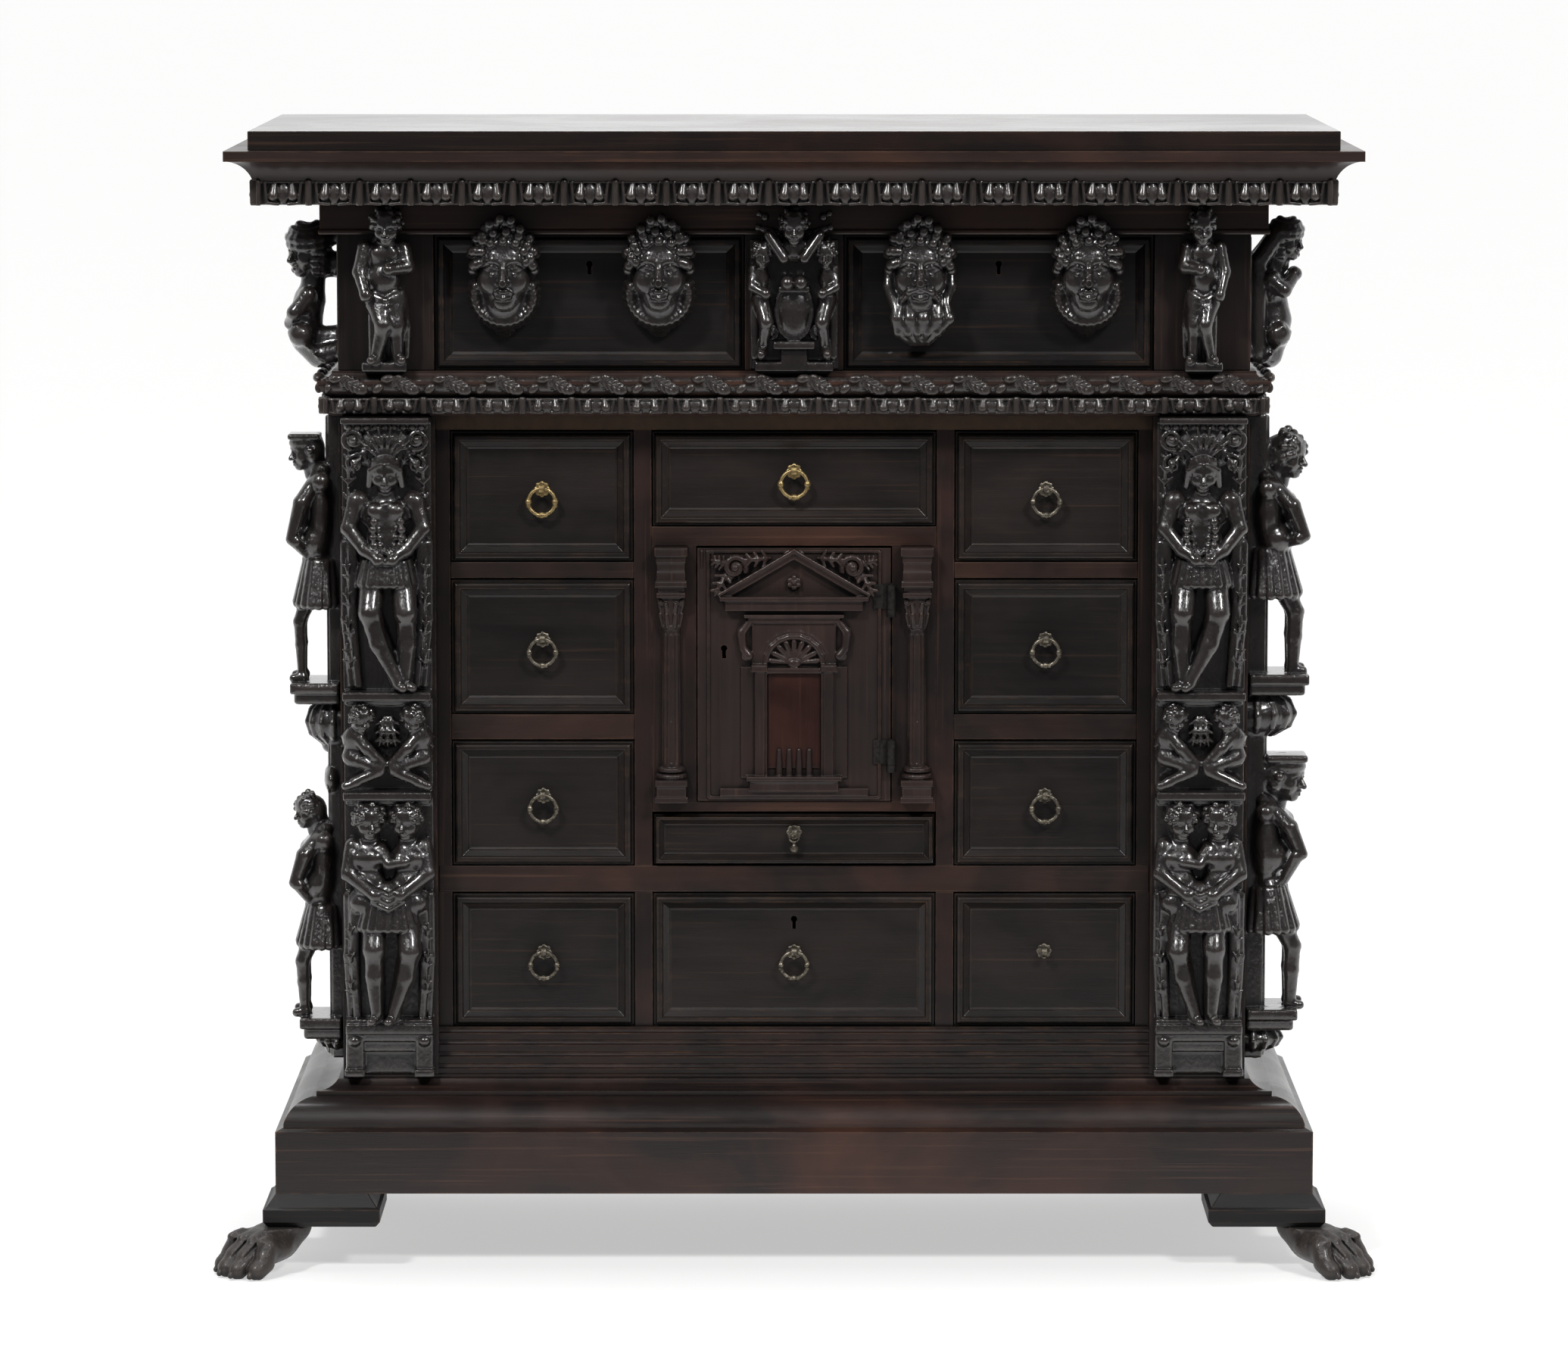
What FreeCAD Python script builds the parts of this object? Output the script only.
"""Italian late Renaissance table cabinet in dark walnut with carved figures.

A lower case of eleven drawers and a small door stands on a moulded plinth with paw feet. Carved corner
posts carry an entablature, two frieze drawers with mask pulls and a heavy cornice with a top board.
Millimetres, +Z up, the front faces -Y, the origin is on the floor under the middle of the outer box.
"""
import FreeCAD, Part
import math
import os

# Front, from the middle outwards
CENTRE_W = 256.0
UPRIGHT_T = 16.0
SIDE_W = 165.0
GUIDE_T = 12.0
POST_W = 86.0
CENTRE_POST_W = 88.0

# Heights, from the floor upwards
PAW_H = 40.0
BLOCK_H = 29.0
PLINTH_H = 56.0
PLINTH_MOULD_H = 42.0
BASE_RAIL_H = 40.0
BOTTOM_ROW_H = 123.0
LONG_RAIL_T = 24.0
LOWER_ROW_H = 115.0
LOWER_RAIL_T = 23.0
UPPER_ROW_H = 123.0
UPPER_RAIL_T = 15.0
TOP_ROW_H = 119.0
CASE_TOP_T = 15.0
ENTABLATURE_H = 40.0
UPPER_H = 122.0
FRIEZE_H = 29.0
CORNICE_H = 48.0
TOP_BOARD_T = 17.0
UNDER_DOOR_H = 49.0
DOOR_SILL_T = 10.0
DOOR_HEAD_T = 18.0
CENTRE_TOP_H = 87.0

# Depths
BODY_DEPTH = 326.0
POST_STEP = 25.0
UPPER_STEP = 6.0
BACK_T = 12.0
PANEL_T = 12.0
PANEL_SET = 6.0
REAR_POST = 40.0
FLOOR_T = 17.0
CEILING_T = 16.0
BASE_RAIL_OUT = 22.0

# How far the mouldings stand out from the post faces, and how far they reach in behind them
PLINTH_OUT = 58.0
PLINTH_IN = 26.0
PLINTH_BACK_T = 14.0
PLINTH_BEVEL = 3.0
PLINTH_EDGE = 3.0
PLINTH_SWELL = 5.0
PLINTH_NECK_H = 15.0
PLINTH_FILLET = 4.0
PLINTH_TOP = 3.0
PLINTH_HOLLOW = 3.0
ENTABLATURE_OUT = 17.5
ENTABLATURE_IN = 25.0
ENTABLATURE_EDGE = 3.0
ENTABLATURE_BOW = 2.0
FRIEZE_OUT = 16.0
FRIEZE_BEAD = 3.2
CORNICE_OUT = 93.0
CORNICE_BAND_OUT = 65.0
CORNICE_BAND_H = 21.0
CORNICE_LIP = 9.0
CORNICE_LIP_STEP = 3.0
CORNICE_FILLET = 4.0
CORNICE_HOLLOW = 4.0
CORNICE_IN = 40.0
TOP_BOARD_OUT = 73.0

# Feet
PAW_REACH = 55.0
PAW_TOE_W = 26.0
PAW_ANKLE_R = 17.0
PAW_ANKLE_IN = 20.0
PAW_REAR_IN = 34.0
BLOCK_W = 105.0
BLOCK_OUT = 11.0
BLOCK_FOOT_IN = 4.0
BLOCK_FOOT_H = 5.0
BLOCK_BAND_H = 11.0
BLOCK_QUIRK = 3.0
BLOCK_QUIRK_H = 2.0

# Drawers
DRAWER_BACK_GAP = 15.0
FRONT_T = 15.0
SIDE_T = 9.0
BOTTOM_T = 6.0
SIDE_GAP = 0.8
TOP_GAP = 1.5
RUN_GAP = 0.3
SIDE_DROP = 5.0
FRONT_SET = 2.0
FRAME_OUT = 6.0
FRAME_W = 16.0
FRAME_SHARE = 0.23
FRAME_EDGE = 1.0
FRAME_FALL = 2.0
FIELD_SET = 2.0
FIELD_EDGE = 1.0
KEYHOLE_R = 2.8
KEYHOLE_SLOT_W = 3.0
KEYHOLE_SLOT_H = 9.0
KEYHOLE_DOWN = 26.0
KEYHOLE_DOWN_LOW = 24.0
LOCK_W = 44.0
LOCK_H = 30.0
LOCK_T = 10.0

# Pulls
RING_R = 12.0
RING_WIRE_R = 1.7
EYE_R = 4.6
EYE_BORE_R = 2.3
EYE_W = 4.4
EYE_OUT = 9.0
EYE_UP = 7.0
DROP_EYE_UP = 6.0
SHANK_R = 2.0
SHANK_HOLE_GAP = 0.05
COLLAR_R = 4.4
COLLAR_T = 1.2
DROP_R = 4.2
DROP_WIRE_R = 0.9
DROP_L = 10.0
DROP_W = 8.0
DROP_TIP_R = 1.0
DROP_NECK_R = 1.4
DROP_NECK_HOLLOW = 0.6

# Masks on the frieze drawers
MASK_W = 66.0
MASK_H = 104.0
MASK_OUT = 46.0
MASK_PITCH = 143.0
MASK_TOP_GAP = 6.0
MASK_CLEAR = 1.5

# Door and columns
JAMB_W = 40.0
JAMB_T = 22.0
DOOR_T = 16.0
DOOR_GAP = 1.0
DOOR_PROUD = 2.0
PIN_R = 2.4
PIN_GAP = 0.05
KNUCKLE_R = 4.4
KNUCKLE_H = 22.0
PINTLE_H = 7.0
PIN_TIP = 1.0
STRAP_W = 16.0
STRAP_T = 1.6
HINGE_IN = 45.0
COLUMN_R = 10.5
COLUMN_BASE_W = 28.0
COLUMN_BASE_H = 30.0
COLUMN_CAP_H = 20.0
COLUMN_OUT = 17.0
COLUMN_TORUS = 2.0
COLUMN_TORUS_H = 3.0
COLUMN_TORUS_BOW = 1.5
COLUMN_NECK_H = 6.0
COLUMN_COLLAR = 1.0
COLUMN_COLLAR_H = 2.0
COLUMN_COLLAR_GAP = 3.0
COLUMN_DIE_IN = 2.0
COLUMN_CAP_IN = 4.0
PEDIMENT_RISE = 42.0
PEDIMENT_TOP_GAP = 2.0
PEDIMENT_MARGIN = 17.0
PEDIMENT_T = 8.0
PEDIMENT_RIM = 7.0
PEDIMENT_POCKET = 4.0
LINTEL_H = 13.0
LINTEL_T = 10.0
LINTEL_GAP = 7.0
DOORWAY_W = 96.0
DOORWAY_T = 7.0
DOORWAY_OPEN_W = 48.0
DOORWAY_SILL = 18.0
DOORWAY_CROWN = 18.0
DOORWAY_BASE_H = 13.0
DOORWAY_BASE_OUT = 8.0
DOORWAY_BASE_PROUD = 1.0
DOORWAY_BASE_BEVEL = 3.0
DOOR_STRIP_H = 10.0
DOOR_STRIP_T = 4.0
DOOR_STRIP_IN = 20.0
DOOR_LOCK_IN = 24.0

# Carvings on the posts
PEDESTAL_H = 49.0
PEDESTAL_OUT = 16.0
PEDESTAL_BEVEL = 4.0
PAIR_H = 199.0
PAIR_GAP = 0.4
LEDGE_H = 13.0
LEDGE_OUT = 22.0
LEDGE_BEVEL = 3.0
CROSSED_H = 77.0
CAPITAL_H = 34.0
POST_FIGURE_OUT = 34.0
POST_FIGURE_W = 66.0
CARVING_MARGIN = 6.0
SIDE_STRIP_T = 14.0
SIDE_STRIP_MARGIN = 8.0
SIDE_FIGURE_OUT = 52.0
SIDE_FIGURE_W = 46.0
SIDE_LOWER_H = 200.0
SIDE_LOWER_UP = 51.0
SIDE_UPPER_H = 228.0
SIDE_UPPER_DOWN = 14.0
CORBEL_H = 40.0
LEG_R = 6.5
LEG_SINK = 2.0
LEG_OFF = 39.0
LEG_SHARE = 0.36
FRIEZE_FIGURE_OUT = 46.0
FRIEZE_FIGURE_W = 50.0
FRIEZE_FIGURE_TOP_GAP = 5.0
ESCUTCHEON_OUT = 44.0
ESCUTCHEON_MARGIN = 1.0

# Case levels
Z_BLOCK = PAW_H
Z_PLINTH = Z_BLOCK + BLOCK_H
Z_MOULD = Z_PLINTH + PLINTH_H
Z_CASE = Z_MOULD + PLINTH_MOULD_H
Z_ROW_4 = Z_CASE + BASE_RAIL_H
Z_LONG_RAIL = Z_ROW_4 + BOTTOM_ROW_H
Z_ROW_3 = Z_LONG_RAIL + LONG_RAIL_T
Z_LOWER_RAIL = Z_ROW_3 + LOWER_ROW_H
Z_ROW_2 = Z_LOWER_RAIL + LOWER_RAIL_T
Z_UPPER_RAIL = Z_ROW_2 + UPPER_ROW_H
Z_ROW_1 = Z_UPPER_RAIL + UPPER_RAIL_T
Z_CASE_TOP = Z_ROW_1 + TOP_ROW_H
Z_ENTABLATURE = Z_CASE_TOP + CASE_TOP_T
Z_UPPER = Z_ENTABLATURE + ENTABLATURE_H
Z_FRIEZE = Z_UPPER + UPPER_H
Z_CORNICE = Z_FRIEZE + FRIEZE_H
Z_TOP_BOARD = Z_CORNICE + CORNICE_H
Z_SILL = Z_ROW_3 + UNDER_DOOR_H
Z_DOOR = Z_SILL + DOOR_SILL_T
Z_CENTRE_TOP = Z_CASE_TOP - CENTRE_TOP_H
Z_DOOR_HEAD = Z_CENTRE_TOP - DOOR_HEAD_T

# Case widths and depths
X_UPRIGHT = CENTRE_W / 2
X_SIDE = X_UPRIGHT + UPRIGHT_T
X_GUIDE = X_SIDE + SIDE_W
X_POST = X_GUIDE + GUIDE_T
X_BODY = X_POST + POST_W
X_JAMB = X_UPRIGHT - JAMB_W
X_PANEL = X_BODY - PANEL_SET - PANEL_T
X_REAR_POST = X_BODY - REAR_POST
PAW_OUT = PLINTH_OUT + PAW_REACH
Y_BACK = (BODY_DEPTH + PAW_OUT) / 2
Y_BODY = Y_BACK - BODY_DEPTH
Y_CASE = Y_BODY + POST_STEP
Y_UPPER = Y_BODY + UPPER_STEP
Y_POST_BACK = Y_BODY + POST_W
Y_REAR_POST = Y_BACK - REAR_POST
Y_INNER_BACK = Y_BACK - BACK_T
Y_DRAWER = Y_CASE + FRONT_SET
DRAWER_L = Y_INNER_BACK - DRAWER_BACK_GAP - Y_DRAWER

# Points closer than this are one point
SEAM = 0.001


def vec(x, y, z):
    return FreeCAD.Vector(x, y, z)


def box(x0, x1, y0, y1, z0, z1):
    return Part.makeBox(x1 - x0, y1 - y0, z1 - z0, vec(x0, y0, z0))


def pair_of_boxes(x0, x1, y0, y1, z0, z1):
    """The same box on the right and, mirrored, on the left."""
    return [box(x0, x1, y0, y1, z0, z1), box(-x1, -x0, y0, y1, z0, z1)]


def rod(start, end, radius):
    """Round bar between two points."""
    axis = end.sub(start)
    return Part.makeCylinder(radius, axis.Length, start, axis)


def outline(points, place):
    """Closed face through (out, up) points; a third number bows the edge to that point into an arc."""
    edges = []
    for before, after in zip([points[-1]] + points[:-1], points):
        start = place(before[0], before[1])
        end = place(after[0], after[1])
        if len(after) == 2:
            edges.append(Part.LineSegment(start, end).toShape())
            continue
        run = after[0] - before[0]
        rise = after[1] - before[1]
        length = math.hypot(run, rise)
        middle = place((before[0] + after[0]) / 2 + rise / length * after[2],
                       (before[1] + after[1]) / 2 - run / length * after[2])
        edges.append(Part.Arc(start, middle, end).toShape())
    return Part.Face(Part.Wire(Part.__sortEdges__(edges)))


def prism(polygon, z0, z1):
    """Upright prism over a polygon of (x, y) corners."""
    corners = [vec(x, y, z0) for x, y in polygon]
    face = Part.Face(Part.makePolygon(corners + corners[:1]))
    return face.extrude(vec(0, 0, z1 - z0))


def mitred(points, reach_in, reach_out, z0, z1):
    """Front, right and left lengths of one moulding, mitred at the front corners of the body."""
    span = X_BODY + reach_out
    front = outline(points, lambda out, up: vec(-span, Y_BODY - out, up)).extrude(vec(2 * span, 0, 0))
    side = outline(points, lambda out, up: vec(X_BODY + out, Y_BODY - reach_out, up))
    side = side.extrude(vec(0, Y_BACK - Y_BODY + reach_out, 0))
    inner = (X_BODY - reach_in, Y_BODY + reach_in)
    outer = (span, Y_BODY - reach_out)
    front_area = [inner, outer, (-outer[0], outer[1]), (-inner[0], inner[1])]
    side_area = [inner, outer, (outer[0], Y_BACK), (inner[0], Y_BACK)]
    front = front.common(prism(front_area, z0, z1)).Solids[0]
    side = side.common(prism(side_area, z0, z1)).Solids[0]
    return [front, side, side.mirror(vec(0, 0, 0), vec(1, 0, 0))]


def stepped(u0, u1, v0, v1, steps, place):
    """Solid through nested rectangles: each step is (inset from the edge, level)."""
    rings = []
    for inset, level in steps:
        corners = [(u0 + inset, v0 + inset), (u1 - inset, v0 + inset),
                   (u1 - inset, v1 - inset), (u0 + inset, v1 - inset)]
        rings.append([place(u, v, level) for u, v in corners])
    patches = [rings[0], rings[-1]]
    for below, above in zip(rings, rings[1:]):
        for i in range(4):
            j = (i + 1) % 4
            patches.append([below[i], below[j], above[j], above[i]])
    faces = [Part.Face(Part.makePolygon(patch + patch[:1])) for patch in patches]
    solid = Part.Solid(Part.Shell(faces))
    if solid.Volume < 0:
        solid.reverse()
    return solid


def carved(sections, place):
    """Solid with one flat back face through D-shaped sections of (along, half width, out)."""
    wires = []
    lefts = []
    rights = []
    for along, half, out in sections:
        left = place(along, -half, 0)
        right = place(along, half, 0)
        lefts.append(left)
        rights.append(right)
        crown = place(along, 0, out)
        left_bulge = place(along, -0.74 * half, 0.68 * out)
        right_bulge = place(along, 0.74 * half, 0.68 * out)
        edges = [Part.LineSegment(right, left).toShape(), Part.Arc(left, left_bulge, crown).toShape(),
                 Part.Arc(crown, right_bulge, right).toShape()]
        wires.append(Part.Wire(edges))
    flat = lefts + rights[::-1]
    back = Part.Face(Part.makePolygon(flat + flat[:1]))
    faces = [face for face in Part.makeLoft(wires, True, True).Faces
             if any(vertex.distToShape(back)[0] > SEAM for vertex in face.Vertexes)]
    solid = Part.Solid(Part.Shell(faces + [back]))
    if solid.Volume < 0:
        solid.reverse()
    return solid


def scaled(form, start, height, width, out):
    """Sections of a carving from its form, given in shares of height, width and projection."""
    return [(start + up * height, across * width / 2, depth * out) for up, across, depth in form]


def on_front(x, y):
    """Placing function for a carving that stands up the front plane y, centred on x."""
    return lambda up, across, out: vec(x + across, y - out, up)


def on_side(side, y):
    """Placing function for a carving on the outer side of the body: side is 1 right, -1 left."""
    return lambda up, across, out: vec(side * (X_BODY + out), y + across, up)


# Forms of the carvings: shares of height, width and projection, from the bottom upwards
FIGURE_FORM = [(0.0, 0.62, 0.62), (0.05, 0.62, 0.66), (0.1, 0.42, 0.5), (0.26, 0.62, 0.72),
               (0.46, 0.78, 0.8), (0.56, 0.66, 0.74), (0.68, 0.98, 1.0), (0.77, 0.94, 0.84),
               (0.82, 0.36, 0.6), (0.86, 0.44, 0.86), (0.93, 0.5, 0.96), (0.98, 0.36, 0.8), (1.0, 0.2, 0.6)]
TORSO_FORM = [(0.0, 0.8, 0.86), (0.12, 0.94, 0.94), (0.32, 0.66, 0.76), (0.52, 1.0, 1.0), (0.64, 0.9, 0.86),
              (0.71, 0.38, 0.66), (0.78, 0.5, 0.9), (0.89, 0.58, 1.0), (0.97, 0.4, 0.84), (1.0, 0.24, 0.66)]
PERCHED_FORM = [(0.0, 0.5, 0.3), (0.07, 0.56, 0.34), (0.14, 0.5, 0.36), (0.3, 0.68, 0.56), (0.46, 0.72, 0.62),
                (0.58, 0.96, 0.84), (0.68, 0.9, 0.8), (0.73, 0.44, 0.7), (0.79, 0.5, 0.9), (0.88, 0.54, 1.0),
                (0.97, 0.4, 0.86), (1.0, 0.24, 0.7)]
CROSSED_FORM = [(0.0, 0.96, 0.7), (0.2, 0.86, 0.9), (0.36, 0.6, 0.96), (0.5, 0.42, 0.8), (0.64, 0.6, 0.96),
                (0.82, 0.9, 1.0), (0.94, 0.94, 0.8), (1.0, 0.7, 0.6)]
CAPITAL_FORM = [(0.0, 0.66, 0.5), (0.4, 0.84, 0.72), (0.7, 1.0, 0.92), (1.0, 1.0, 0.8)]
CORBEL_FORM = [(0.0, 0.3, 0.2), (0.25, 0.5, 0.5), (0.6, 0.62, 0.66), (0.72, 0.9, 0.86), (1.0, 1.0, 0.94)]
MASK_FORM = [(0.0, 0.3, 0.46), (0.1, 0.5, 0.7), (0.26, 0.74, 0.84), (0.42, 0.88, 0.94), (0.58, 0.98, 1.0),
             (0.74, 1.0, 0.98), (0.88, 0.9, 0.92), (1.0, 0.62, 0.8)]
PAW_FORM = [(-0.3, 0.62, 0.7), (0.1, 0.8, 0.9), (0.45, 0.98, 0.82), (0.8, 1.1, 0.64), (1.0, 1.0, 0.34)]
SHIELD_FORM = [(0.0, 0.92, 0.5), (0.06, 0.92, 0.5), (0.1, 0.62, 0.5), (0.2, 0.72, 0.62), (0.44, 0.84, 0.7),
               (0.58, 0.8, 0.66), (0.66, 0.96, 0.72), (0.78, 0.98, 0.86), (0.86, 0.66, 1.0),
               (0.95, 0.5, 0.94), (1.0, 0.3, 0.76)]


def top_board():
    half = X_BODY + TOP_BOARD_OUT
    return [box(-half, half, Y_BODY - TOP_BOARD_OUT, Y_BACK, Z_TOP_BOARD, Z_TOP_BOARD + TOP_BOARD_T)]


def cornice():
    """Soffit, plain band for the carved eggs, a hollow and a lip."""
    z_hollow = Z_CORNICE + CORNICE_BAND_H
    z_lip = Z_TOP_BOARD - CORNICE_LIP
    points = [(-CORNICE_IN, Z_TOP_BOARD), (-CORNICE_IN, Z_CORNICE), (CORNICE_BAND_OUT, Z_CORNICE),
              (CORNICE_BAND_OUT, z_hollow), (CORNICE_BAND_OUT + CORNICE_FILLET, z_hollow),
              (CORNICE_OUT - CORNICE_LIP_STEP, z_lip, -CORNICE_HOLLOW), (CORNICE_OUT, z_lip),
              (CORNICE_OUT, Z_TOP_BOARD)]
    return mitred(points, CORNICE_IN, CORNICE_OUT, Z_CORNICE, Z_TOP_BOARD)


def frieze():
    """Plain band under the cornice with a small bead along its lower edge."""
    face = FRIEZE_OUT - FRIEZE_BEAD / 2
    bead_top = Z_FRIEZE + 1.6 * FRIEZE_BEAD
    points = [(-ENTABLATURE_IN, Z_CORNICE), (-ENTABLATURE_IN, Z_FRIEZE), (face, Z_FRIEZE),
              (face, bead_top, FRIEZE_BEAD / 2), (face, Z_CORNICE)]
    return mitred(points, ENTABLATURE_IN, CORNICE_OUT, Z_FRIEZE, Z_CORNICE)


def entablature():
    """Band for the carved eggs, a wave for the carved leaves, a lip and a slope back to the posts."""
    band = 0.64 * ENTABLATURE_OUT
    top = Z_ENTABLATURE + ENTABLATURE_H
    z_band = Z_ENTABLATURE + 0.42 * ENTABLATURE_H
    z_lip = Z_ENTABLATURE + 0.72 * ENTABLATURE_H
    edge = ENTABLATURE_EDGE
    bow = ENTABLATURE_BOW
    points = [(-ENTABLATURE_IN, top), (-ENTABLATURE_IN, Z_ENTABLATURE), (0.4 * band, Z_ENTABLATURE),
              (band, Z_ENTABLATURE + edge), (band, z_band - bow), (0.6 * band, z_band),
              (ENTABLATURE_OUT - bow / 2, z_lip, bow), (ENTABLATURE_OUT, z_lip),
              (ENTABLATURE_OUT, z_lip + edge), (0.3 * ENTABLATURE_OUT, top - bow, -bow),
              (0.3 * ENTABLATURE_OUT, top)]
    return mitred(points, ENTABLATURE_IN, CORNICE_OUT, Z_ENTABLATURE, Z_UPPER)


def plinth():
    """Moulded front and sides, and a plain back board between the sides."""
    z_edge = Z_MOULD + PLINTH_BEVEL
    z_neck = Z_CASE - PLINTH_NECK_H
    z_top = Z_CASE - PLINTH_TOP
    points = [(-PLINTH_IN, Z_CASE), (-PLINTH_IN, Z_PLINTH), (PLINTH_OUT, Z_PLINTH), (PLINTH_OUT, Z_MOULD),
              (0.88 * PLINTH_OUT, z_edge), (0.88 * PLINTH_OUT, z_edge + PLINTH_EDGE),
              (0.46 * PLINTH_OUT, z_neck, PLINTH_SWELL), (0.4 * PLINTH_OUT, z_neck),
              (0.4 * PLINTH_OUT, z_neck + PLINTH_FILLET), (0.08 * PLINTH_OUT, z_top, -PLINTH_HOLLOW),
              (0, z_top), (0, Z_CASE)]
    inner = X_BODY - PLINTH_IN
    back = box(-inner, inner, Y_BACK - PLINTH_BACK_T, Y_BACK, Z_PLINTH, Z_CASE)
    return mitred(points, PLINTH_IN, PLINTH_OUT, Z_PLINTH, Z_CASE) + [back]


def base_moulding():
    """Stacked steps between the posts, under the lowest drawers."""
    step = BASE_RAIL_OUT / 5
    rise = BASE_RAIL_H / 4
    points = [(0, Z_ROW_4), (0, Z_CASE), (BASE_RAIL_OUT, Z_CASE)]
    for level in range(4):
        out = BASE_RAIL_OUT - level * step
        foot = Z_CASE + level * rise
        points.append((out, foot + 0.5 * rise))
        points.append((out - 0.7 * step, foot + 0.86 * rise, -1))
        points.append((out - step, foot + 0.86 * rise))
        points.append((out - step, foot + rise))
    face = outline(points, lambda out, up: vec(-X_POST, Y_CASE - out, up))
    return [face.extrude(vec(2 * X_POST, 0, 0))]


def foot_blocks():
    """Moulded square blocks under the four corners of the plinth."""
    z_band = Z_BLOCK + BLOCK_FOOT_H
    z_quirk = z_band + BLOCK_BAND_H
    steps = [(BLOCK_FOOT_IN, Z_BLOCK), (0, z_band), (0, z_quirk), (BLOCK_QUIRK, z_quirk + BLOCK_QUIRK_H),
             (BLOCK_OUT, Z_PLINTH)]
    right = X_BODY + PLINTH_OUT + BLOCK_OUT
    front = Y_BODY - PLINTH_OUT - BLOCK_OUT
    blocks = []
    for y0 in (front, Y_BACK - BLOCK_W):
        block = stepped(right - BLOCK_W, right, y0, y0 + BLOCK_W, steps, vec)
        blocks += [block, block.mirror(vec(0, 0, 0), vec(1, 0, 0))]
    return blocks


def paw_feet():
    """Paws splayed outwards: diagonal at the front, sideways at the back so that the back stays flat."""
    ankle = X_BODY + PLINTH_OUT + BLOCK_OUT - PAW_ANKLE_IN
    ankle_y = Y_BODY - PLINTH_OUT - BLOCK_OUT + PAW_ANKLE_IN
    reach = (X_BODY + PAW_OUT - ankle) * math.sqrt(2) - PAW_TOE_W
    rear_x = X_BODY + PAW_OUT - reach - PAW_REAR_IN
    rear_y = Y_BACK - BLOCK_W / 2
    paws = []
    for x, y, turn in ((ankle, ankle_y, -45.0), (rear_x, rear_y, 0.0)):
        ahead = vec(math.cos(math.radians(turn)), math.sin(math.radians(turn)), 0)
        across = vec(-ahead.y, ahead.x, 0)
        heel = vec(x, y, 0)

        def place(along, side, up):
            return heel + ahead * along + across * side + vec(0, 0, up)

        sections = [(along * reach, half * PAW_TOE_W, up * PAW_H) for along, half, up in PAW_FORM]
        paw = carved(sections, place).fuse(rod(heel, heel + vec(0, 0, PAW_H), PAW_ANKLE_R))
        paw = paw.removeSplitter().Solids[0]
        paws += [paw, paw.mirror(vec(0, 0, 0), vec(1, 0, 0))]
    return paws


def corner_posts():
    front = pair_of_boxes(X_POST, X_BODY, Y_BODY, Y_POST_BACK, Z_CASE, Z_ENTABLATURE)
    rear = pair_of_boxes(X_REAR_POST, X_BODY, Y_REAR_POST, Y_BACK, Z_CASE, Z_ENTABLATURE)
    return front + rear


def upper_posts():
    front = pair_of_boxes(X_POST, X_BODY, Y_BODY, Y_POST_BACK, Z_UPPER, Z_FRIEZE)
    rear = pair_of_boxes(X_REAR_POST, X_BODY, Y_REAR_POST, Y_BACK, Z_UPPER, Z_FRIEZE)
    half = CENTRE_POST_W / 2
    return front + rear + [box(-half, half, Y_BODY, Y_CASE + POST_STEP, Z_UPPER, Z_FRIEZE)]


def case_panels():
    """Side panels between the posts of each case, and one back panel."""
    outer = X_PANEL + PANEL_T
    lower = pair_of_boxes(X_PANEL, outer, Y_POST_BACK, Y_REAR_POST, Z_CASE, Z_ENTABLATURE)
    upper = pair_of_boxes(X_PANEL, outer, Y_POST_BACK, Y_REAR_POST, Z_UPPER, Z_FRIEZE)
    back = box(-X_REAR_POST, X_REAR_POST, Y_INNER_BACK, Y_BACK, Z_CASE, Z_TOP_BOARD)
    return lower + upper + [back]


def notched_board(z0, z1):
    """Board across the whole case, cut round the four posts."""
    board = box(-X_PANEL, X_PANEL, Y_CASE, Y_INNER_BACK, z0, z1)
    for post in pair_of_boxes(X_POST, X_BODY, Y_BODY, Y_POST_BACK, z0, z1):
        board = board.cut(post)
    for post in pair_of_boxes(X_REAR_POST, X_BODY, Y_REAR_POST, Y_BACK, z0, z1):
        board = board.cut(post)
    return board.removeSplitter().Solids[0]


def case_boards():
    """Bottom and top of the lower case, floor and ceiling of the upper case."""
    inner = X_BODY - ENTABLATURE_IN
    front = Y_BODY + ENTABLATURE_IN
    ceiling = box(-inner, inner, front, Y_INNER_BACK, Z_CORNICE - CEILING_T, Z_CORNICE)
    floor = box(-inner, inner, front, Y_INNER_BACK, Z_UPPER - FLOOR_T, Z_UPPER)
    bottom = notched_board(Z_ROW_4 - FLOOR_T, Z_ROW_4)
    top = notched_board(Z_CASE_TOP, Z_ENTABLATURE)
    return [bottom, top, floor, ceiling]


def uprights():
    """Uprights between the columns of drawers, outer guides, upper guides and door jambs."""
    boards = []
    for z0, z1 in ((Z_ROW_4, Z_LONG_RAIL), (Z_ROW_3, Z_CASE_TOP)):
        boards += pair_of_boxes(X_UPRIGHT, X_SIDE, Y_CASE, Y_INNER_BACK, z0, z1)
        boards += pair_of_boxes(X_GUIDE, X_POST, Y_CASE, Y_INNER_BACK, z0, z1)
    half = CENTRE_POST_W / 2
    guide_top = Z_CORNICE - CEILING_T
    boards += pair_of_boxes(half - GUIDE_T, half, Y_CASE + POST_STEP, Y_INNER_BACK, Z_UPPER, guide_top)
    boards += pair_of_boxes(X_POST, X_POST + GUIDE_T, Y_POST_BACK, Y_INNER_BACK, Z_UPPER, guide_top)
    return boards + door_jambs()


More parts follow.
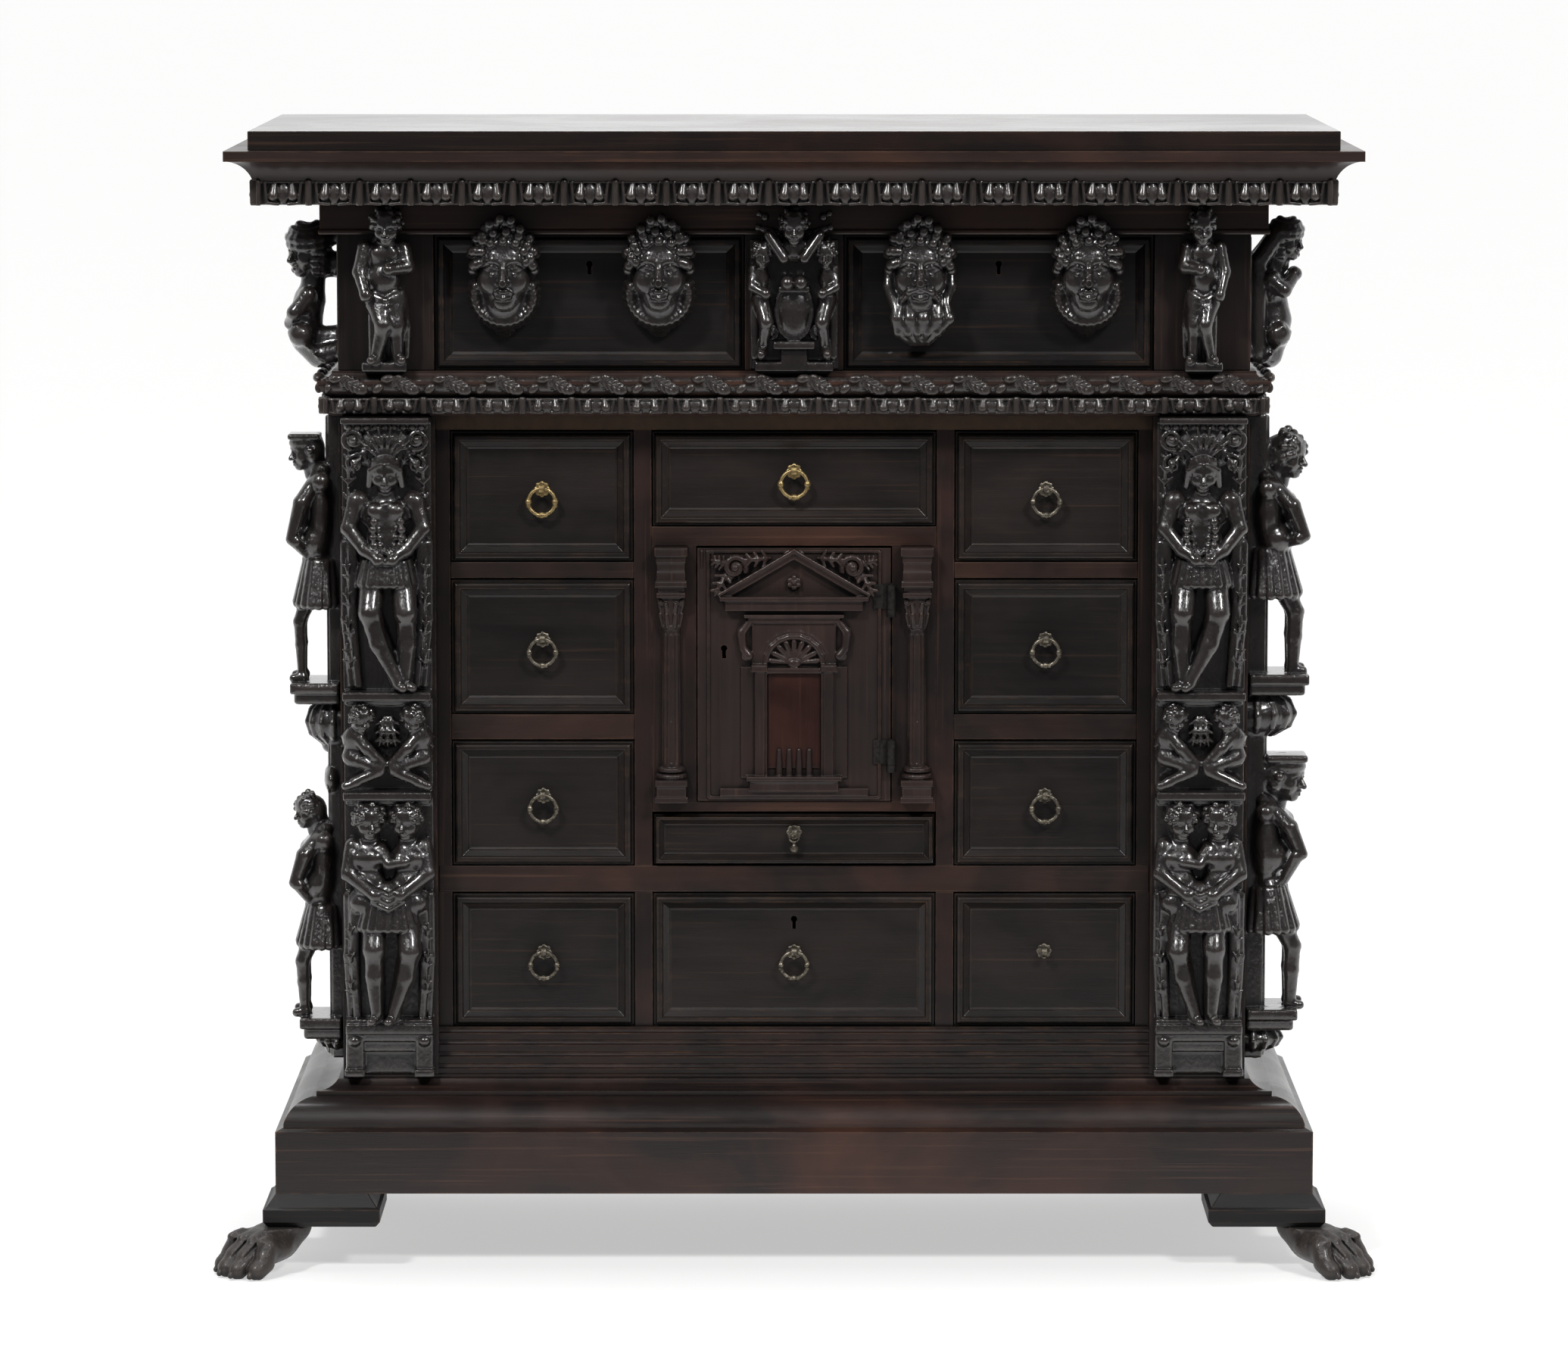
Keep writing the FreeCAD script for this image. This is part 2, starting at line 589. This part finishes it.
def rails():
    """Boards that carry the drawers: one long rail, two in each side column and three in the centre."""
    back = Y_INNER_BACK
    boards = [box(-X_POST, X_POST, Y_CASE, back, Z_LONG_RAIL, Z_ROW_3)]
    boards += pair_of_boxes(X_SIDE, X_GUIDE, Y_CASE, back, Z_LOWER_RAIL, Z_ROW_2)
    boards += pair_of_boxes(X_SIDE, X_GUIDE, Y_CASE, back, Z_UPPER_RAIL, Z_ROW_1)
    boards.append(box(-X_UPRIGHT, X_UPRIGHT, Y_CASE, back, Z_SILL, Z_DOOR))
    boards.append(box(-X_UPRIGHT, X_UPRIGHT, Y_CASE, back, Z_DOOR_HEAD, Z_CENTRE_TOP))
    return boards


def door_jambs():
    """Strips beside the door; the right one is bored for the hinge spikes."""
    jambs = pair_of_boxes(X_JAMB, X_UPRIGHT, Y_CASE, Y_CASE + JAMB_T, Z_DOOR, Z_DOOR_HEAD)
    for z in hinge_levels():
        jambs[0] = jambs[0].cut(rod(spike_start(z), spike_end(z), PIN_R))
    return jambs


def door_columns():
    """Half columns in front of the jambs: pedestal, turned shaft and capital."""
    centre = (X_UPRIGHT + X_JAMB + COLUMN_R / 2) / 2
    half = COLUMN_BASE_W / 2
    z_shaft = Z_DOOR + COLUMN_BASE_H
    z_cap = Z_DOOR_HEAD - COLUMN_CAP_H
    z_die = Z_DOOR + 0.28 * COLUMN_BASE_H
    z_rim = z_shaft - COLUMN_TORUS_H
    z_collar = z_cap - COLUMN_COLLAR_GAP
    torus = COLUMN_R + COLUMN_TORUS
    collar = COLUMN_R + COLUMN_COLLAR
    points = [(0, z_shaft), (torus, z_shaft), (torus, z_shaft + COLUMN_TORUS_H, COLUMN_TORUS_BOW),
              (COLUMN_R, z_shaft + COLUMN_NECK_H), (0.86 * COLUMN_R, z_cap - COLUMN_NECK_H),
              (collar, z_collar - COLUMN_COLLAR_H), (collar, z_collar), (0.9 * COLUMN_R, z_cap), (0, z_cap)]
    profile = outline(points, lambda out, up: vec(centre + out, Y_CASE, up))
    shaft = profile.revolve(vec(centre, Y_CASE, 0), vec(0, 0, 1), -180)
    pedestal_steps = [(0, Z_DOOR), (0, z_die), (COLUMN_DIE_IN, z_die), (COLUMN_DIE_IN, z_rim - COLUMN_COLLAR),
                      (0, z_rim), (0, z_shaft)]
    capital_steps = [(COLUMN_CAP_IN, z_cap), (COLUMN_CAP_IN / 4, z_cap + 0.5 * COLUMN_CAP_H),
                     (0, z_cap + 0.6 * COLUMN_CAP_H), (0, Z_DOOR_HEAD)]
    front_y = Y_CASE - COLUMN_OUT
    back_y = Y_CASE + COLUMN_OUT
    pedestal = stepped(centre - half, centre + half, front_y, back_y, pedestal_steps, vec)
    capital = stepped(centre - half, centre + half, front_y, back_y, capital_steps, vec)
    front = box(centre - 2 * half, centre + 2 * half, Y_CASE - 2 * COLUMN_OUT, Y_CASE, Z_DOOR, Z_DOOR_HEAD)
    column = shaft.fuse([pedestal.common(front), capital.common(front)]).removeSplitter().Solids[0]
    return [column, column.mirror(vec(0, 0, 0), vec(1, 0, 0))]


# Door: leaf faces and hinge line
Y_LEAF = Y_CASE - DOOR_PROUD
LEAF_HALF = X_JAMB - DOOR_GAP
LEAF_Z0 = Z_DOOR + RUN_GAP
LEAF_Z1 = Z_DOOR_HEAD - TOP_GAP
HINGE_X = X_JAMB - DOOR_GAP / 2
HINGE_Y = Y_LEAF - KNUCKLE_R - DOOR_GAP / 2
DOOR_KEY_X = -LEAF_HALF + DOOR_LOCK_IN
DOOR_KEY_Z = (LEAF_Z0 + LEAF_Z1) / 2 + KEYHOLE_DOWN_LOW


def hinge_levels():
    return (Z_DOOR + HINGE_IN, Z_DOOR_HEAD - HINGE_IN)


def spike_start(z):
    return vec(HINGE_X + PIN_R, HINGE_Y, z - KNUCKLE_H / 2 - PINTLE_H / 2)


def spike_end(z):
    start = spike_start(z)
    return vec(start.x, Y_CASE + JAMB_T, start.z)


def keyhole(x, z, y0, y1):
    """Cutter for a keyhole: a round hole over a slot."""
    slot = box(x - KEYHOLE_SLOT_W / 2, x + KEYHOLE_SLOT_W / 2, y0, y1, z - KEYHOLE_SLOT_H, z)
    return rod(vec(x, y0, z), vec(x, y1, z), KEYHOLE_R).fuse(slot)


def door_leaf():
    leaf = box(-LEAF_HALF, LEAF_HALF, Y_LEAF, Y_LEAF + DOOR_T, LEAF_Z0, LEAF_Z1)
    return [leaf.cut(keyhole(DOOR_KEY_X, DOOR_KEY_Z, Y_LEAF, Y_LEAF + DOOR_T))]


def door_relief():
    """Carved doorway on the leaf: pediment, lintel, arched frame, base and bottom strip."""
    apex = LEAF_Z1 - PEDIMENT_TOP_GAP
    eaves = apex - PEDIMENT_RISE
    half = LEAF_HALF - PEDIMENT_MARGIN
    rim = PEDIMENT_RIM

    def triangle(across, low, high, y0, y1):
        points = [vec(-across, y0, low), vec(across, y0, low), vec(0, y0, high)]
        return Part.Face(Part.makePolygon(points + points[:1])).extrude(vec(0, y1 - y0, 0))

    pediment = triangle(half, eaves, apex, Y_LEAF - PEDIMENT_T, Y_LEAF)
    pocket = triangle(half - 3 * rim, eaves + rim, apex - 1.6 * rim, Y_LEAF - PEDIMENT_T,
                      Y_LEAF - PEDIMENT_POCKET)
    pediment = pediment.cut(pocket)
    lintel = box(-half + rim, half - rim, Y_LEAF - LINTEL_T, Y_LEAF, eaves - LINTEL_H, eaves)
    strip_top = LEAF_Z0 + DOOR_STRIP_H
    frame_top = eaves - LINTEL_H - LINTEL_GAP
    frame_foot = strip_top + DOORWAY_BASE_H
    frame = box(-DOORWAY_W / 2, DOORWAY_W / 2, Y_LEAF - DOORWAY_T, Y_LEAF, frame_foot, frame_top)
    open_half = DOORWAY_OPEN_W / 2
    spring = frame_top - DOORWAY_CROWN - open_half
    opening = box(-open_half, open_half, Y_LEAF - DOORWAY_T, Y_LEAF, frame_foot + DOORWAY_SILL, spring)
    arch = rod(vec(0, Y_LEAF - DOORWAY_T, spring), vec(0, Y_LEAF, spring), open_half)
    frame = frame.cut(opening.fuse(arch)).removeSplitter()
    base_half = DOORWAY_W / 2 + DOORWAY_BASE_OUT
    base_out = DOORWAY_T + DOORWAY_BASE_PROUD
    base_steps = [(0, 0), (0, base_out), (DOORWAY_BASE_BEVEL, base_out + DOORWAY_BASE_BEVEL)]
    base = stepped(-base_half, base_half, strip_top, frame_foot, base_steps,
                   lambda u, v, level: vec(u, Y_LEAF - level, v))
    strip_half = LEAF_HALF - DOOR_STRIP_IN
    strip = box(-strip_half, strip_half, Y_LEAF - DOOR_STRIP_T, Y_LEAF, LEAF_Z0, strip_top)
    return [pediment, lintel, frame, base, strip]


def door_ironwork():
    """Moving halves of the two hinges and the lock case on the inside of the leaf."""
    pieces = []
    for z in hinge_levels():
        low = z - KNUCKLE_H / 2
        knuckle = rod(vec(HINGE_X, HINGE_Y, low), vec(HINGE_X, HINGE_Y, low + KNUCKLE_H), KNUCKLE_R)
        strap = box(HINGE_X - STRAP_W, HINGE_X, Y_LEAF - STRAP_T, Y_LEAF, low, low + KNUCKLE_H)
        strap = strap.cut(box(LEAF_HALF, HINGE_X, Y_LEAF - STRAP_T, Y_LEAF, low, low + KNUCKLE_H))
        bore = rod(vec(HINGE_X, HINGE_Y, low), vec(HINGE_X, HINGE_Y, low + KNUCKLE_H), PIN_R + PIN_GAP)
        pieces.append(knuckle.fuse(strap).cut(bore).removeSplitter().Solids[0])
    inner = Y_LEAF + DOOR_T
    half = LOCK_H / 2
    lock = box(DOOR_KEY_X - half, DOOR_KEY_X + half, inner, inner + LOCK_T, DOOR_KEY_Z - LOCK_W / 2,
               DOOR_KEY_Z + LOCK_W / 2)
    pieces.append(lock.cut(keyhole(DOOR_KEY_X, DOOR_KEY_Z, inner, inner + LOCK_T)))
    return pieces


def door_pintles():
    """Fixed halves of the hinges: an upright pin on a spike driven into the right jamb."""
    pieces = []
    for z in hinge_levels():
        low = z - KNUCKLE_H / 2
        foot = vec(HINGE_X, HINGE_Y, low - PINTLE_H)
        pin = rod(foot, vec(HINGE_X, HINGE_Y, low + KNUCKLE_H + PIN_TIP), PIN_R)
        seat = rod(foot, vec(HINGE_X, HINGE_Y, low - RUN_GAP), KNUCKLE_R)
        spike = rod(spike_start(z), spike_end(z), PIN_R)
        pieces.append(seat.fuse([pin, spike]).removeSplitter().Solids[0])
    return pieces


def drawer_front(x0, x1, z0, z1, y):
    """Board with a raised bead near its edge and a field sunk behind a sloping frame."""
    width = min(FRAME_W, FRAME_SHARE * (z1 - z0))
    steps = [(0, -FRONT_T), (0, 0), (0.12 * width, 0), (0.19 * width, FRAME_OUT - FRAME_EDGE),
             (0.28 * width, FRAME_OUT), (0.47 * width, FRAME_OUT), (0.56 * width, FRAME_OUT - FRAME_FALL),
             (0.87 * width, 0), (0.87 * width, FIELD_EDGE - FIELD_SET), (width, -FIELD_SET)]
    return stepped(x0, x1, z0, z1, steps, lambda u, v, level: vec(u, y - level, v))


class Drawer:
    """One drawer: its opening, its front plane and what is fixed to it."""

    def __init__(self, name, x0, x1, z0, z1, y, pull, key_down=None):
        self.name = name
        self.x0 = x0 + SIDE_GAP
        self.x1 = x1 - SIDE_GAP
        self.z0 = z0 + RUN_GAP
        self.z1 = z1 - TOP_GAP
        self.y = y
        self.pull = pull
        self.key_down = key_down
        self.x = (x0 + x1) / 2
        self.z = (z0 + z1) / 2

    def eye(self):
        """Middle of the staple's eye."""
        up = DROP_EYE_UP if self.pull == "drop" else EYE_UP
        return vec(self.x, self.y + FIELD_SET - EYE_OUT, self.z + up)

    def key_z(self):
        return self.z1 - self.key_down

    def boards(self):
        """Front, sides, back and bottom."""
        inner = self.y + FRONT_T
        back = self.y + DRAWER_L
        front = drawer_front(self.x0, self.x1, self.z0, self.z1, self.y)
        if self.pull:
            eye = self.eye()
            hole_r = SHANK_R + SHANK_HOLE_GAP
            front = front.cut(rod(vec(eye.x, self.y, eye.z), vec(eye.x, inner, eye.z), hole_r))
        if self.key_down:
            front = front.cut(keyhole(self.x, self.key_z(), self.y - FRAME_OUT, inner))
        top = self.z1 - SIDE_DROP
        left = box(self.x0, self.x0 + SIDE_T, inner, back, self.z0, top)
        right = box(self.x1 - SIDE_T, self.x1, inner, back, self.z0, top)
        rear = box(self.x0 + SIDE_T, self.x1 - SIDE_T, back - SIDE_T, back, self.z0, top)
        floor = box(self.x0 + SIDE_T, self.x1 - SIDE_T, inner, back - SIDE_T, self.z0, self.z0 + BOTTOM_T)
        return [front.Solids[0], left, right, rear, floor]

    def ironwork(self):
        """Staple with its eye, and the lock where there is a keyhole."""
        pieces = []
        inner = self.y + FRONT_T
        if self.pull:
            eye = self.eye()
            field = self.y + FIELD_SET
            across = vec(EYE_W / 2, 0, 0)
            ring = rod(eye - across, eye + across, EYE_R)
            shank = rod(vec(eye.x, eye.y + EYE_BORE_R, eye.z), vec(eye.x, inner + COLLAR_T, eye.z), SHANK_R)
            collar = rod(vec(eye.x, field - COLLAR_T, eye.z), vec(eye.x, field, eye.z), COLLAR_R)
            clench = rod(vec(eye.x, inner, eye.z), vec(eye.x, inner + COLLAR_T, eye.z), COLLAR_R)
            bore = rod(eye - across, eye + across, EYE_BORE_R)
            pieces.append(ring.fuse([shank, collar, clench]).cut(bore).removeSplitter().Solids[0])
        if self.key_down:
            z = self.key_z()
            lock = box(self.x - LOCK_W / 2, self.x + LOCK_W / 2, inner, inner + LOCK_T,
                       z - LOCK_H / 2, z + LOCK_H / 2)
            pieces.append(lock.cut(keyhole(self.x, z, inner, inner + LOCK_T)))
        return pieces

    def hanging(self):
        """The ring or drop that hangs in the eye."""
        eye = self.eye()
        if self.pull == "ring":
            return [Part.makeTorus(RING_R, RING_WIRE_R, eye - vec(0, 0, RING_R), vec(0, 1, 0))]
        loop = Part.makeTorus(DROP_R, DROP_WIRE_R, eye - vec(0, 0, DROP_R), vec(0, 1, 0))
        neck = eye.z - 2 * DROP_R
        half = DROP_W / 2
        points = [(0, neck), (0, neck - DROP_L), (DROP_TIP_R, neck - DROP_L),
                  (half, neck - 0.5 * DROP_L, DROP_TIP_R), (half - DROP_TIP_R, neck - 0.4 * DROP_L),
                  (DROP_NECK_R, neck, -DROP_NECK_HOLLOW)]
        profile = outline(points, lambda out, up: vec(eye.x + out, eye.y, up))
        body = profile.revolve(vec(eye.x, eye.y, 0), vec(0, 0, 1), 360)
        return [loop.fuse(body).removeSplitter().Solids[0]]


def all_drawers():
    rows = [("top", Z_ROW_1, Z_CASE_TOP), ("upper", Z_ROW_2, Z_UPPER_RAIL), ("lower", Z_ROW_3, Z_LOWER_RAIL),
            ("bottom", Z_ROW_4, Z_LONG_RAIL)]
    drawers = []
    for level, z0, z1 in rows:
        drawers.append(Drawer("left_" + level, -X_GUIDE, -X_SIDE, z0, z1, Y_DRAWER, "ring"))
        pull = "staple" if level == "bottom" else "ring"
        drawers.append(Drawer("right_" + level, X_SIDE, X_GUIDE, z0, z1, Y_DRAWER, pull))
    drawers.append(Drawer("centre_top", -X_UPRIGHT, X_UPRIGHT, Z_CENTRE_TOP, Z_CASE_TOP, Y_DRAWER, "ring"))
    drawers.append(Drawer("under_door", -X_UPRIGHT, X_UPRIGHT, Z_ROW_3, Z_SILL, Y_DRAWER, "drop"))
    drawers.append(Drawer("centre_bottom", -X_UPRIGHT, X_UPRIGHT, Z_ROW_4, Z_LONG_RAIL, Y_DRAWER, "ring",
                          KEYHOLE_DOWN_LOW))
    half = CENTRE_POST_W / 2
    drawers.append(Drawer("frieze_left", -X_POST, -half, Z_UPPER, Z_FRIEZE, Y_UPPER, None, KEYHOLE_DOWN))
    drawers.append(Drawer("frieze_right", half, X_POST, Z_UPPER, Z_FRIEZE, Y_UPPER, None, KEYHOLE_DOWN))
    return drawers


def masks(drawer):
    """Two mask pulls on a frieze drawer; their crowns pass in front of the frieze."""
    top = Z_CORNICE - MASK_TOP_GAP
    frieze_front = Y_BODY - FRIEZE_OUT - MASK_CLEAR
    front = drawer_front(drawer.x0, drawer.x1, drawer.z0, drawer.z1, drawer.y)
    carvings = []
    for side in (-1, 1):
        x = drawer.x + side * MASK_PITCH / 2
        place = on_front(x, drawer.y + FIELD_SET)
        head = carved(scaled(MASK_FORM, top - MASK_H, MASK_H, MASK_W, MASK_OUT), place)
        behind = box(x - MASK_W, x + MASK_W, frieze_front, Y_BACK, drawer.z1, Z_TOP_BOARD)
        carvings.append(head.cut([behind, front]).Solids[0])
    return carvings


def before_frieze(carving):
    """The carving without what would stand inside the frieze."""
    reach = X_BODY + FRIEZE_OUT
    behind = box(-reach, reach, Y_BODY - FRIEZE_OUT, Y_BACK, Z_FRIEZE, Z_CORNICE)
    return carving.cut(behind).Solids[0]


def escutcheon():
    """Winged head over a shield on the centre post."""
    height = Z_CORNICE - FRIEZE_FIGURE_TOP_GAP - Z_UPPER
    width = CENTRE_POST_W - 2 * ESCUTCHEON_MARGIN
    sections = scaled(SHIELD_FORM, Z_UPPER, height, width, ESCUTCHEON_OUT)
    return before_frieze(carved(sections, on_front(0, Y_BODY)))


def frieze_carvings():
    """Escutcheon on the centre post and small figures on the front and outer sides of the upper posts."""
    height = Z_CORNICE - FRIEZE_FIGURE_TOP_GAP - Z_UPPER
    sections = scaled(PERCHED_FORM, Z_UPPER, height, FRIEZE_FIGURE_W, FRIEZE_FIGURE_OUT)
    middle = X_POST + POST_W / 2
    side_y = Y_BODY + POST_W / 2
    places = [on_front(-middle, Y_BODY), on_front(middle, Y_BODY), on_side(-1, side_y), on_side(1, side_y)]
    return [escutcheon()] + [before_frieze(carved(sections, place)) for place in places]


def post_carvings():
    """Three tiers of figures on the front of each corner post."""
    half = POST_W / 2 - CARVING_MARGIN
    z_pair = Z_CASE + PEDESTAL_H
    z_ledge = z_pair + PAIR_H
    z_crossed = z_ledge + LEDGE_H
    z_upper_ledge = z_crossed + CROSSED_H
    z_figure = z_upper_ledge + LEDGE_H
    z_capital = Z_ENTABLATURE - CAPITAL_H
    carvings = []
    for side in (-1, 1):
        x = side * (X_POST + POST_W / 2)
        place = on_front(x, Y_BODY)
        block = [(0, 0), (0, PEDESTAL_OUT - PEDESTAL_BEVEL), (PEDESTAL_BEVEL, PEDESTAL_OUT)]

        def face(u, v, level):
            return vec(u, Y_BODY - level, v)

        carvings.append(stepped(x - half, x + half, Z_CASE, z_pair, block, face))
        for shift in (-1, 1):
            mate = on_front(x + shift * (half + PAIR_GAP) / 2, Y_BODY)
            carvings.append(carved(scaled(FIGURE_FORM, z_pair, PAIR_H, half, POST_FIGURE_OUT), mate))
        for level in (z_ledge, z_upper_ledge):
            steps = [(0, 0), (0, LEDGE_OUT - LEDGE_BEVEL), (LEDGE_BEVEL, LEDGE_OUT)]
            carvings.append(stepped(x - half, x + half, level, level + LEDGE_H, steps, face))
        carvings.append(carved(scaled(CROSSED_FORM, z_crossed, CROSSED_H, 2 * half, POST_FIGURE_OUT), place))
        height = z_capital - z_figure
        carvings.append(carved(scaled(FIGURE_FORM, z_figure, height, POST_FIGURE_W, POST_FIGURE_OUT), place))
        carvings.append(carved(scaled(CAPITAL_FORM, z_capital, CAPITAL_H, 2 * half, POST_FIGURE_OUT), place))
    return carvings


def side_carvings():
    """A strip on the outer side of each corner post, with two tiers of figures whose legs stand clear."""
    y = Y_BODY + POST_W / 2
    lower_foot = Z_CASE + SIDE_LOWER_UP
    tiers = [(lower_foot, SIDE_LOWER_H), (Z_ENTABLATURE - SIDE_UPPER_DOWN - SIDE_UPPER_H, SIDE_UPPER_H)]
    strips = pair_of_boxes(X_BODY, X_BODY + SIDE_STRIP_T, Y_BODY + SIDE_STRIP_MARGIN,
                           Y_POST_BACK - SIDE_STRIP_MARGIN, lower_foot - CORBEL_H, Z_ENTABLATURE)
    carvings = []
    for side, strip in zip((1, -1), strips):
        place = on_side(side, y)
        pieces = []
        for foot, height in tiers:
            corbel_sections = scaled(CORBEL_FORM, foot - CORBEL_H, CORBEL_H, SIDE_FIGURE_W, SIDE_FIGURE_OUT)
            hip = foot + LEG_SHARE * height
            torso_sections = scaled(TORSO_FORM, hip, foot + height - hip, SIDE_FIGURE_W, SIDE_FIGURE_OUT)
            pieces += [carved(corbel_sections, place), carved(torso_sections, place)]
            for shift in (-1, 1):
                ankle = place(foot - LEG_SINK, shift * SIDE_FIGURE_W / 5, LEG_OFF)
                knee = place(hip + LEG_SINK, shift * SIDE_FIGURE_W / 5, LEG_OFF)
                pieces.append(rod(ankle, knee, LEG_R))
        carvings.append(strip.fuse(pieces).removeSplitter().Solids[0])
    return carvings


def build():
    """Every node's name and its solids."""
    nodes = {"top_board": top_board(), "cornice": cornice(), "frieze": frieze(), "upper_posts": upper_posts(),
             "frieze_carvings": frieze_carvings(), "entablature": entablature(),
             "corner_posts": corner_posts(), "post_carvings": post_carvings(),
             "side_carvings": side_carvings(), "case_panels": case_panels(), "case_boards": case_boards(),
             "uprights": uprights(), "rails": rails(), "door_columns": door_columns(),
             "base_moulding": base_moulding(), "plinth": plinth(), "foot_blocks": foot_blocks(),
             "paw_feet": paw_feet(), "door_leaf": door_leaf(), "door_relief": door_relief(),
             "door_ironwork": door_ironwork(), "door_pintles": door_pintles()}
    for drawer in all_drawers():
        nodes[drawer.name + "_drawer"] = drawer.boards()
        if drawer.pull:
            nodes[drawer.name + "_staple"] = drawer.ironwork()
        else:
            nodes[drawer.name + "_lock"] = drawer.ironwork()
            nodes[drawer.name + "_masks"] = masks(drawer)
        if drawer.pull in ("ring", "drop"):
            nodes[drawer.name + "_" + drawer.pull] = drawer.hanging()
    return nodes


os.makedirs("parts", exist_ok=True)
for node, solids in build().items():
    shape = solids[0] if len(solids) == 1 else Part.makeCompound(solids)
    shape.exportStep("parts/" + node + ".step")
